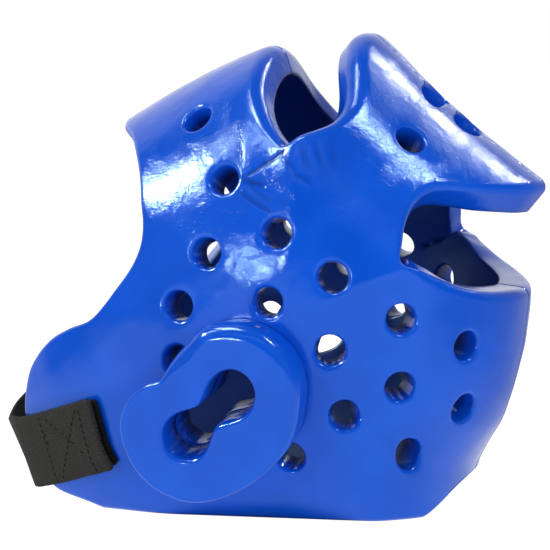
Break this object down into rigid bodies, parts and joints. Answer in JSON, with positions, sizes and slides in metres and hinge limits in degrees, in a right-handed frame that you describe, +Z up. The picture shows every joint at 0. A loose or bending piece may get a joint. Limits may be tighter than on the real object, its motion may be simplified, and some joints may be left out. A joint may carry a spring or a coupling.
{
  "type": "padded sparring head guard",
  "caption": "Dipped foam head guard with open face, vent holes, a raised pad with a keyhole slot over each ear and an elastic chin strap.",
  "frame": {"origin": "in the plane that the rim stands on, in the middle of the width and of the whole length", "axes": "+Z up, -Y the way the face looks, +X the wearer's left"},
  "size_m": [0.2264, 0.2874, 0.2375],
  "materials": {
    "dipped_blue_vinyl": "glossy dipped vinyl skin over closed-cell foam",
    "woven_elastic": "matt woven elastic webbing",
    "hook_tape": "matt hook tape"
  },
  "bodies": {
    "root": {"foam_shell": "dipped_blue_vinyl", "ear_pad_left": "dipped_blue_vinyl", "ear_pad_right": "dipped_blue_vinyl", "chin_strap": "woven_elastic", "strap_hook_left": "hook_tape", "strap_hook_right": "hook_tape"}
  },
  "joints": []
}
